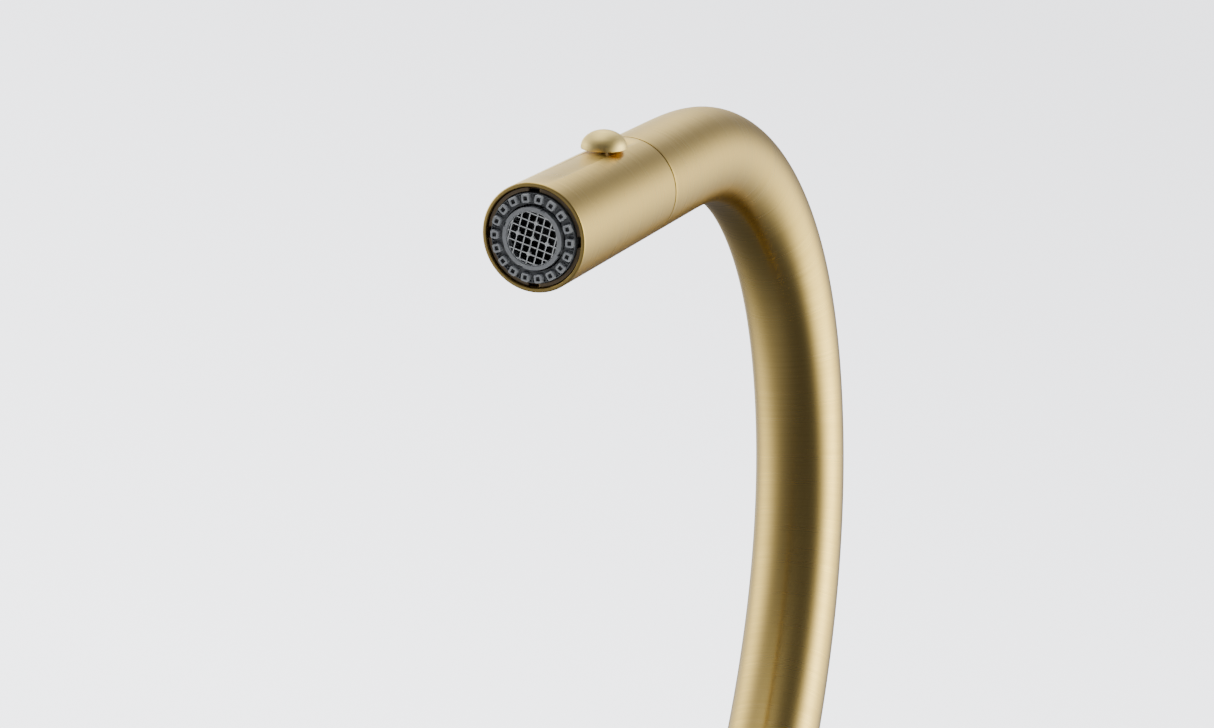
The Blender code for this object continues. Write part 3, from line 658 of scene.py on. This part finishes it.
def build_nozzle_ring():
    """The soft pad: a base ring with a thin rim and ribs, darker than the nozzles as painted shade between
    them, and the lighter square nozzles on it.
    """
    pad = turned_shape(rounded(ring_outline(10.3, PAD_RADIUS, 0.6, 5.6), 0.12), FINE)
    rim = bpy.data.meshes.new("rim")
    turned_shape(rounded(ring_outline(PAD_RADIUS - 0.3, PAD_RADIUS, -0.1, 1.0), 0.08), FINE).to_mesh(rim)
    pad.from_mesh(rim)
    bpy.data.meshes.remove(rim)
    for x, y, turn in circle_places(0, NOZZLES, 180 / NOZZLES):
        block(pad, (12.7, -0.14, -0.2), (PAD_RADIUS - 0.2, 0.14, 0.9), turn)
    body = body_of("nozzle_ring")
    # A darker copy of the grey silicone: painted shade for the recess round the nozzles.
    base = moulded("pad_silicone_painted_shade", (0.055, 0.058, 0.063), (0.072, 0.076, 0.082), 0.6)
    finish_mesh("nozzle_ring_fine", pad, HEAD, body, base, ("nozzle_ring",))

    root, outside = square_outline(NOZZLE_SIZE, 0.5), square_outline(NOZZLE_SIZE - 0.1, 0.6)
    crest, lip = square_outline(NOZZLE_SIZE - 0.3, 0.6), square_outline(NOZZLE_HOLE + 0.14, 0.2)
    hole = square_outline(NOZZLE_HOLE, 0.14)
    walls = (
        (root, NOZZLE_ROOT), (outside, NOZZLE_TIP + 0.15), (crest, NOZZLE_TIP), (lip, NOZZLE_TIP),
        (hole, NOZZLE_TIP + 0.1), (hole, NOZZLE_ROOT),
    )
    tips = bmesh.new()
    for x, y, turn in circle_places(NOZZLE_CIRCLE, NOZZLES):
        prism(tips, walls, x, y, turn, closed=True)
    finish_mesh("nozzle_tips_fine", tips, HEAD, body, MATERIALS["grey_silicone"])


def build_painted_throat_shade():
    """Black sheets inside the nozzles: painted shade for the dark inside of each, where the plate behind it
    shuts out the light.
    """
    shape = bmesh.new()
    for x, y, turn in circle_places(NOZZLE_CIRCLE, NOZZLES):
        rings = prism(shape, [(square_outline(NOZZLE_HOLE + 0.02, 0.14), THROAT)], x, y, turn)
        shape.faces.new(rings[0])
    # Black sheets set into the holes: painted shade, not a part of the face.
    black = MATERIALS["black_plastic"]
    finish_mesh("painted_throat_shade", shape, HEAD, body_of("nozzle_ring"), black)


def build_aerator():
    """The notched frame, the front screen with its bosses, and the black screen behind it."""
    outline = [
        (MESH_RADIUS, -1.0), (FRAME_RADIUS, -1.0), (FRAME_RADIUS, 12.6), (8.9, 12.6), (8.9, 6.4),
        (MESH_RADIUS, 6.4),
    ]
    notches = bmesh.new()
    for x, y, turn in circle_places(FRAME_RADIUS + 0.19, 4, 22):
        block(notches, (-0.5, -0.8, -2), (0.5, 0.8, 1.2), turn, x, y)
    turned("aerator_frame", outline, HEAD, "grey_plastic", 0.14, FINE, cutters=[helper(notches, HEAD)])

    front = moulded("screen_plastic", (0.30, 0.31, 0.32), (0.35, 0.36, 0.37), 0.5)
    build_screen("aerator_screen", -0.7, -0.4, BAR_WIDTH, 0.0, front)
    black = MATERIALS["black_plastic"]
    build_screen("aerator_second_screen", 2.0, 2.8, 0.5, 0.5, black)


def build_screen(node, low, high, width, shift, finish):
    """A round grid of crossed bars, shifted by part of a cell. The one with no shift has the bosses."""
    radius = MESH_RADIUS - 0.15
    shape = turned_shape(rounded(ring_outline(radius - 0.1, radius, low, high), 0.02), FINE)
    turn = math.radians(MESH_TURN)
    for index in range(-4, 5):
        offset = (index + shift) * MESH_PITCH
        if abs(offset) > radius - 0.4:
            continue
        half = math.sqrt(radius**2 - offset**2) - 0.03
        block(shape, (-half, offset - width / 2, low), (half, offset + width / 2, high), turn)
        block(shape, (offset - width / 2, -half, low), (offset + width / 2, half, high), turn)
    if not shift:
        add_bosses(shape, turn, low, high)
    finish_mesh(f"{node}_fine", shape, HEAD, body_of(node), finish, (node,))


def add_bosses(shape, turn, low, high):
    """A boss on the screen's middle crossing, and one two cells out along each bar."""
    arm = 2 * MESH_PITCH
    for x, y in ((0, 0), (arm, 0), (-arm, 0), (0, arm), (0, -arm)):
        spot = Matrix.Rotation(turn, 2) @ Vector((x, y))
        made = bmesh.ops.create_cone(
            shape, cap_ends=True, segments=24, radius1=0.6, radius2=0.75, depth=high - low + 0.5
        )
        bmesh.ops.translate(shape, verts=made["verts"], vec=(spot.x, spot.y, (low + high) / 2 + 0.2))


def build_knob():
    """A cap of a ball with a flat underside and a crisp edge, on its stem."""
    edge = KNOB_FOOT + KNOB_LAND
    angles = [math.pi / 2 * step / 24 for step in range(1, 24)]
    dome = [(KNOB_RADIUS * math.cos(a), edge + (KNOB_TOP - edge) * math.sin(a)) for a in angles]
    foot = rounded([(0, KNOB_FOOT), (KNOB_RADIUS, KNOB_FOOT), (KNOB_RADIUS, edge)], 0.12, closed=False)
    shape = turned_shape([*foot, *dome, (0, KNOB_TOP)], FINE, closed=False)
    # Lighter than the other brass: painted highlight for the knob's bright left and centre. Its higher
    # roughness with no grain direction is its own finish.
    knob_finish_painted_highlight = brushed("knob_brass_painted_highlight", *KNOB_BRASS_PAINTED_HIGHLIGHT, 0.46, anisotropy=0.0)
    body = body_of("diverter_knob")
    finish_mesh("diverter_knob_fine", shape, KNOB, body, knob_finish_painted_highlight, ("diverter_knob",))

    stem_top = KNOB_FOOT + 0.2
    stem = [(0, SPRING_LOW), (1.6, SPRING_LOW), (1.6, stem_top), (0, stem_top)]
    turned("diverter_stem", stem, KNOB, "stainless_steel")
    turned("diverter_guide_bush", ring_outline(1.85, 3.95, 12.0, 16.7), KNOB, "brushed_brass", 0.2)


def build_spring():
    """The wire coil on the stem."""
    per_turn, height = 24, SPRING_HIGH - SPRING_LOW
    rise = height / (SPRING_TURNS * math.tau)
    wire_angles = ring_angles(12)
    rows, lengths = [], []
    for step in range(SPRING_TURNS * per_turn + 1):
        angle = math.tau * step / per_turn
        out = Vector((math.cos(angle), math.sin(angle), 0))
        forward = Vector((-SPRING_RADIUS * out.y, SPRING_RADIUS * out.x, rise)).normalized()
        centre = SPRING_RADIUS * out + Vector((0, 0, SPRING_LOW + rise * angle))
        side = out.cross(forward)
        rows.append([centre + SPRING_WIRE * (math.cos(a) * out + math.sin(a) * side) for a in wire_angles])
        lengths.append(SPRING_RADIUS * angle)
    shape = bmesh.new()
    skin(shape, rows, lengths, SPRING_WIRE, False)
    ends = [edge for edge in shape.edges if edge.is_boundary]
    bmesh.ops.holes_fill(shape, edges=ends, sides=len(wire_angles))
    steel, node = MATERIALS["stainless_steel"], "diverter_spring"
    coil = finish_mesh("diverter_spring_fine", shape, KNOB, body_of(node), steel, (node,))
    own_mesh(coil)


def build_docking():
    """The pieces that come into sight when the head is pulled out. The collar's black shoulder fills the
    seam almost to the surface, as painted shade for the dark gap of the seam.
    """
    # The black shoulder, 0.3 mm under the tube's surface, is the collar's own part and also stands in for
    # the seam's shadow: painted shade.
    shoulder, low, high = TUBE_RADIUS - 0.3, HEAD_LENGTH + 0.02, HEAD_LENGTH + SEAM - 0.04
    collar = [
        (7.0, 66.0), (15.3, 66.0), (15.3, low), (shoulder, low), (shoulder, high), (13.2, high),
        (13.2, 91.6), (12.7, 92.2), (8.6, 92.2), (8.6, 67.6), (7.0, 67.6),
    ]
    turned("docking_collar", collar, HEAD, "black_plastic", 0.02, FINE)
    turned("collar_keeper_ring", ring_outline(9.0, 12.9, 92.5, 94.6), HEAD, "stainless_steel", 0.3)
    turned("docking_bush", ring_outline(13.6, 15.5, 73.9, 95.4), DOCK, "grey_plastic", 0.3)
    turned("docking_magnet", ring_outline(10.0, 15.4, 95.9, 101.5), DOCK, "sintered_magnet", 0.3)
    connector = [
        (CONNECTOR_BORE, 80.4), (8.2, 80.4), (8.2, 83.9), (6.0, 83.9), (6.0, 100.0), (3.6, 100.0),
        (3.6, 117.0), (CONNECTOR_BORE, 117.0),
    ]
    turned("hose_connector", connector, DOCK, "brushed_brass", 0.25)
    turned("hose_ferrule", ring_outline(HOSE_RADIUS + 0.3, 6.6, 100.5, 118.0), DOCK, "stainless_steel", 0.25)
    turned("hose_front_run", ring_outline(3.9, HOSE_RADIUS, 100.4, FRONT_RUN_END), DOCK, "nylon_braid", 0.3)


# ---------------------------------------------------------------- spout


def spout_stations(reach):
    """Distances from the rim of the tube's sections, and how far each is inside the full radius."""
    start, end = HEAD_LENGTH + SEAM, SPOUT_LENGTH
    quarter = [math.radians(90 * step / 4) for step in range(5)]
    gaps = [reach * (1 - math.cos(angle)) for angle in quarter]
    lift = [reach * (1 - math.sin(angle)) for angle in quarter]
    between = list(np.arange(start + 2, end - 2, 3.0))
    stations = [start + gap for gap in gaps] + between + [end - gap for gap in gaps[::-1]]
    return stations, lift + [0.0] * len(between) + lift[::-1]


def build_spout():
    """The swept tube, with a rounded edge where the head docks on it and at its foot."""
    stations, drops = spout_stations(reach=0.07)
    outer, inner = [], []
    for distance, drop in zip(stations, drops):
        centre, out = on_line(distance)
        for rows, radius in ((outer, TUBE_RADIUS - drop), (inner, TUBE_BORE)):
            rows.append(
                [centre - radius * (math.cos(a) * out + math.sin(a) * X_AXIS) for a in ring_angles(FINE)]
            )
    lengths = stations + [2 * SPOUT_LENGTH + 2 - distance for distance in stations[::-1]]
    shape = bmesh.new()
    skin(shape, outer + inner[::-1], lengths, TUBE_RADIUS, True)
    tube = finish_mesh("spout_tube_fine", shape, BASE, None, MATERIALS["brushed_brass"])
    carve(tube, [stop_way()], "DIFFERENCE")
    settle(tube, "spout", ("spout_tube",))

    sleeve = ring_outline(13.4, 15.5, SPOUT_FOOT + 0.2, NOSE_TOP)
    turned("spout_sleeve", sleeve, BASE, "brushed_brass", cutters=[stop_way()])
    socket = bmesh.new()
    bmesh.ops.create_cone(socket, cap_ends=True, segments=6, radius1=1.1, radius2=1.1, depth=4)
    key_way = helper(socket, STOP @ placed((0, 0, 16.6)))
    screw = [(0, 11.7), (1.9, 11.7), (1.9, 16.5), (0, 16.5)]
    turned("stop_screw", screw, STOP, "stainless_steel", 0.25, cutters=[key_way])


def stop_way():
    """The hole that the stop screw goes through."""
    return helper(rod_shape(STOP_WAY, 10, 20), STOP)


# ---------------------------------------------------------------- body, deck fixing


def build_body():
    """The column with its grooved nose, and the side arm joined to it and bored for the cartridge."""
    outline = [
        (HOSE_WAY, SOCKET_TOP), (SHANK_RADIUS + 0.3, SOCKET_TOP), (SHANK_RADIUS + 0.3, COLUMN_FOOT),
        (COLUMN_RADIUS, COLUMN_FOOT), (COLUMN_RADIUS, COLUMN_TOP), (NOSE_RADIUS, COLUMN_TOP),
        (NOSE_RADIUS, 56.6), (11.4, 56.6), (11.4, 58.6), (NOSE_RADIUS, 58.6), (NOSE_RADIUS, NOSE_TOP),
        (HOSE_WAY, NOSE_TOP),
    ]
    column = turned_shape(rounded(outline, 0.5), FINE)
    piece = finish_mesh("body_column_fine", column, BASE, None, MATERIALS["brushed_brass"])
    arm = rounded([(0, 8), (ARM_RADIUS, 8), (ARM_RADIUS, ARM_END), (0, ARM_END)], 0.5, closed=False)
    carve(piece, [helper(turned_shape(arm, FINE, closed=False), ARM)], "UNION")
    carve(piece, [helper(rod_shape(ARM_BORE, SEAT, ARM_END + 4, FINE), ARM)], "DIFFERENCE")
    cut_tail_ways(piece)
    carve(piece, [helper(stop_groove_shape(), BASE)], "DIFFERENCE")
    settle(piece, "base", ("body_column",))


def tail_places():
    """The axes of the cold, mixed and hot water tails."""
    turns = [math.radians(turn) for turn in (-TAIL_SPREAD, 0.0, TAIL_SPREAD)]
    return [placed((TAIL_CIRCLE * math.cos(turn), TAIL_CIRCLE * math.sin(turn), 0)) for turn in turns]


def cut_tail_ways(piece):
    """Three round ways, which the water tails enter by from the shank's socket."""
    for place in tail_places():
        way = rod_shape(TAIL_RADIUS + 0.2, SOCKET_TOP - 1, 22)
        carve(piece, [helper(way, place)], "DIFFERENCE")


def stop_groove_shape():
    """The slot round the nose that the stop screw's tip travels in."""
    shape = bmesh.new()
    start = math.radians(90 - STOP_SWING)
    section = []
    for radius, height in ((11.2, 59.8), (13.0, 59.8), (13.0, 64.2), (11.2, 64.2)):
        section.append(shape.verts.new((radius * math.cos(start), radius * math.sin(start), height)))
    face = shape.faces.new(section)
    bmesh.ops.spin(
        shape, geom=[face], cent=(0, 0, 0), axis=(0, 0, 1), angle=math.radians(2 * STOP_SWING), steps=36
    )
    return shape


def build_deck_fixing():
    """The flange, washers, nut and shank that clamp the deck, and the tails that hang through them."""
    round_shank, under = SHANK_RADIUS + 0.4, -DECK_THICKNESS
    flange = [
        (round_shank, 0), (19.0, 0), (19.0, 1.7), (24.0, 1.7), (24.0, 0), (FLANGE_RADIUS, 0),
        (FLANGE_RADIUS, FLANGE_THICKNESS), (round_shank, FLANGE_THICKNESS),
    ]
    turned("base_flange", flange, BASE, "brushed_brass", 0.8, FINE)
    turned("base_gasket", ring_outline(19.5, 23.3, 0.0, 1.4), BASE, "black_rubber", 0.3, FINE)
    glide = ring_outline(NOSE_RADIUS + 0.3, TUBE_RADIUS - 0.3, COLUMN_TOP + 0.2, SPOUT_FOOT - 0.2)
    turned("lower_glide_ring", glide, BASE, "white_plastic", 0.15, FINE)
    rubber = ring_outline(round_shank, 24.0, under - 3.0, under)
    turned("clamp_rubber_washer", rubber, BASE, "black_rubber", 0.4, FINE)
    steel = ring_outline(round_shank, 23.5, under - 5.4, under - 3.3)
    turned("clamp_steel_washer", steel, BASE, "stainless_steel", 0.3, FINE)
    build_clamp_nut(under - 14.0, under - 5.7)
    build_shank()

    tail = [
        (TAIL_BORE, -72.0), (3.9, -72.0), (3.9, -68.5), (TAIL_RADIUS, -67.5), (TAIL_RADIUS, 21.5),
        (TAIL_BORE, 21.5),
    ]
    for node, place in zip(("cold_water_tail", "mixed_water_tail", "hot_water_tail"), tail_places()):
        turned(node, tail, place, "copper", 0.3, SMALL)
    connector = [
        (CONNECTOR_BORE, -104.0), (4.6, -104.0), (4.6, -94.0), (6.4, -93.0), (6.4, -78.6),
        (CONNECTOR_BORE, -78.6),
    ]
    turned("hose_end_connector", connector, BASE, "brushed_brass", 0.35)


def build_clamp_nut(low, high):
    """A hexagon with its corners turned off at both ends."""
    corner, flat = 23.0, 20.5
    outline = [(0, low), (flat, low), (corner, low + 1.5), (corner, high - 1.5), (flat, high), (0, high)]
    round_blank = helper(turned_shape(outline, FINE, closed=False), BASE)
    hexagon = rod_shape(corner, low - 1, high + 1, 6)
    piece = finish_mesh("clamp_nut_fine", hexagon, BASE, None, MATERIALS["brushed_brass"], smooth=30)
    carve(piece, [round_blank], "INTERSECT")
    carve(piece, [helper(rod_shape(SHANK_RADIUS + 0.4, low - 3, high + 3, FINE), BASE)], "DIFFERENCE")
    settle(piece, "base", ("clamp_nut",))


def build_shank():
    """The shank with its helical thread, which fades out near both ends."""
    sides, per_pitch = 48, 6
    turns = int((SHANK_TOP - SHANK_END) / THREAD_PITCH)
    rows, lengths = [], []
    for index in range(turns * per_pitch + 1):
        height = SHANK_END + index * THREAD_PITCH / per_pitch
        fade = max(0.0, min(1.0, (height - SHANK_END) / 2, (SHANK_TOP - height) / 2))
        row = []
        for step, angle in enumerate(ring_angles(sides)):
            phase = (index / per_pitch - step / sides) % 1
            radius = SHANK_RADIUS - THREAD_DEPTH * fade * abs(2 * phase - 1) - 0.02
            row.append((radius * math.cos(angle), radius * math.sin(angle), height))
        rows.append(row)
        lengths.append(height - SHANK_END)
    for height in (SHANK_TOP, SHANK_END):
        bore = [(SHANK_BORE * math.cos(a), SHANK_BORE * math.sin(a), height) for a in ring_angles(sides)]
        rows.append(bore)
        lengths.append(lengths[-1] + 3.0)
    shape = bmesh.new()
    skin(shape, rows, lengths, SHANK_RADIUS, True)
    piece = finish_mesh("threaded_shank_fine", shape, BASE, None, MATERIALS["brushed_brass"], smooth=60)
    settle(piece, "base", ("threaded_shank",))


# ---------------------------------------------------------------- lever


def build_lever():
    """The fixed ball cover on the arm, and the cup and pin that tilt and turn on it."""
    edge = 96
    cover = [
        *arc(COVER_OUTSIDE, COVER_OPENING, edge, 14, PIVOT),
        (12.8, PIVOT + COVER_OUTSIDE * math.cos(math.radians(edge))),
        (12.8, 34.7), (11.6, 34.7), (11.6, 37.6),
        *arc(COVER_INSIDE, COVER_OPENING, edge, 14, PIVOT)[-2::-1],
    ]
    turned("ball_cover", cover, ARM, "brushed_brass", 0.15, FINE)

    mouth, bore, bore_end = 3.0, STEM_RADIUS + 0.2, 14.6
    outer_edge = math.degrees(math.acos(mouth / CUP_RADIUS))
    inner_edge = math.degrees(math.acos(mouth / CUP_INSIDE))
    neck = math.degrees(math.asin(CUP_NECK / CUP_INSIDE))
    cup = [
        *arc(CUP_RADIUS, 0, outer_edge, 24), *arc(CUP_INSIDE, inner_edge, neck, 16), (CUP_NECK, 6.5),
        (bore, 6.5), (bore, bore_end), (0, bore_end),
    ]
    collar = helper(rod_shape(4.4, 16.0, 18.3, SMALL, 0.3), PIN)
    pin_way = helper(rod_shape(2.3, 14.5, 20), PIN)
    grub_way = helper(rod_shape(2.1, 2.0, 16), LEVER @ placed((0, 0, GRUB_PLACE), y=90))
    turned("handle_cup", cup, LEVER, "brushed_brass", 0.2, FINE, [pin_way, grub_way], [collar])

    spigot, rod, shoulder = 2.0, 3.4, 18.6
    pin = [
        (0, 15.9), (spigot, 15.9), (spigot, shoulder), (rod, shoulder), (rod, LEVER_REACH - 0.8),
        (rod - 0.8, LEVER_REACH), (0, LEVER_REACH),
    ]
    turned("lever_pin", pin, PIN, "brushed_brass", 0.4)


# ---------------------------------------------------------------- carried nodes, stage


def dress_carried_nodes():
    """The CAD nodes that stay get their slot's finish, or one that needs no brush UV."""
    without_uv = {
        "brushed_brass": machined_brass(),
        "nylon_braid": braided("upright_braid", upright=True),
    }
    for entry in frame["record"]["subparts"]:
        piece, slot = frame["nodes"][entry["node"]], entry["material_slot"]
        piece.data.materials.clear()
        piece.data.materials.append(without_uv.get(slot) or MATERIALS[slot])


def make_stage():
    """A pale round floor under the lowest point."""
    shape = bmesh.new()
    bmesh.ops.create_circle(shape, cap_ends=True, segments=96, radius=FLOOR_RADIUS)
    mesh = bpy.data.meshes.new("floor")
    shape.to_mesh(mesh)
    shape.free()
    floor = bpy.data.objects.new("floor", mesh)
    floor.location = (0, 0, CAD_BOX[0].z - 0.001)
    mesh.materials.append(moulded("floor", (0.72, 0.72, 0.73), (0.75, 0.75, 0.76), 0.7, pore=8.0, flow=3.0))
    floor.visible_glossy = False
    bpy.context.scene.collection.objects.link(floor)


def direction(azimuth, elevation):
    """A unit vector. Azimuth 0 points along -Y and turns towards +X."""
    a, e = math.radians(azimuth), math.radians(elevation)
    return Vector((math.sin(a) * math.cos(e), -math.cos(a) * math.cos(e), math.sin(e)))


def make_world():
    """A dim room with soft lights round it, as gloss sees it, in front of a pale backdrop with painted
    shading, darker up and to the right.
    """
    world = bpy.data.worlds.new("studio")
    world.use_nodes = True
    bpy.context.scene.world = world
    nodes = Nodes(world.node_tree)
    way = nodes.add("ShaderNodeTexCoord").outputs["Generated"]

    def along(line):
        made = nodes.add("ShaderNodeVectorMath", {"operation": "DOT_PRODUCT"}, i0=way, i1=line)
        return made.outputs["Value"]

    total = ROOM_LIGHT
    for azimuth, elevation, sharpness, strength in SOFT_LIGHTS:
        near = along(direction(CAMERA_AZIMUTH + azimuth, elevation))
        glow = nodes.worked_out("EXPONENT", nodes.worked_out("MULTIPLY_ADD", near, sharpness, -sharpness))
        total = nodes.worked_out("MULTIPLY_ADD", glow, strength, total)
    warmth = nodes.add("ShaderNodeMapRange", Value=total, From_Min=0.05, From_Max=2.0).outputs["Result"]
    tint = nodes.colours(warmth, (0.94, 0.98, 1.2), (1.0, 1.01, 0.86))
    lit = nodes.add("ShaderNodeBackground", Color=tint, Strength=total)
    # The backdrop that the camera sees is painted shading: lighter low and to the left, darker up and to the
    # right.
    up_and_right = 0.92 * Vector((0, 0, 1)) + 0.39 * direction(CAMERA_AZIMUTH + 90, 0)
    shade = nodes.add("ShaderNodeMapRange", Value=along(up_and_right), From_Min=-0.16, From_Max=0.22)
    painted_backdrop = nodes.colours(shade.outputs["Result"], (3.9, 3.94, 4.14), (2.68, 2.7, 2.85))
    backdrop = nodes.add("ShaderNodeBackground", Color=painted_backdrop)
    path = nodes.add("ShaderNodeLightPath").outputs["Is Camera Ray"]
    both = nodes.add("ShaderNodeMixShader", i0=path, i1=lit.outputs[0], i2=backdrop.outputs[0])
    output = world.node_tree.nodes["World Output"]
    world.node_tree.links.new(both.outputs[0], output.inputs["Surface"])


def add_overhead_light():
    """A large soft light over the floor, which gloss doesn't see."""
    lamp = bpy.data.lights.new("overhead", "AREA")
    lamp.energy = OVERHEAD_LIGHT
    lamp.size = OVERHEAD_HEIGHT
    holder = bpy.data.objects.new("overhead", lamp)
    holder.location = (0, 0, OVERHEAD_HEIGHT)
    holder.visible_camera = False
    holder.visible_glossy = False
    bpy.context.scene.collection.objects.link(holder)


def make_camera():
    """The camera, where the photograph was taken from."""
    data = bpy.data.cameras.new("camera")
    data.lens = LENS
    data.sensor_width = 36
    data.clip_start = 0.01
    camera = bpy.data.objects.new("camera", data)
    camera.location = (RIM + Vector(CAMERA_FROM_RIM)) * MM
    look = -direction(CAMERA_AZIMUTH, CAMERA_ELEVATION)
    camera.rotation_euler = look.to_track_quat("-Z", "Y").to_euler()
    bpy.context.scene.collection.objects.link(camera)
    bpy.context.scene.camera = camera


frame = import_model()
CAD_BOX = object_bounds()
MATERIALS = make_materials()
make_camera()
make_stage()
make_world()
add_overhead_light()
dress_carried_nodes()
build_head_shell()
build_face_retainer()
build_nozzle_ring()
build_painted_throat_shade()
build_aerator()
build_knob()
build_spring()
build_docking()
build_spout()
build_body()
build_deck_fixing()
build_lever()
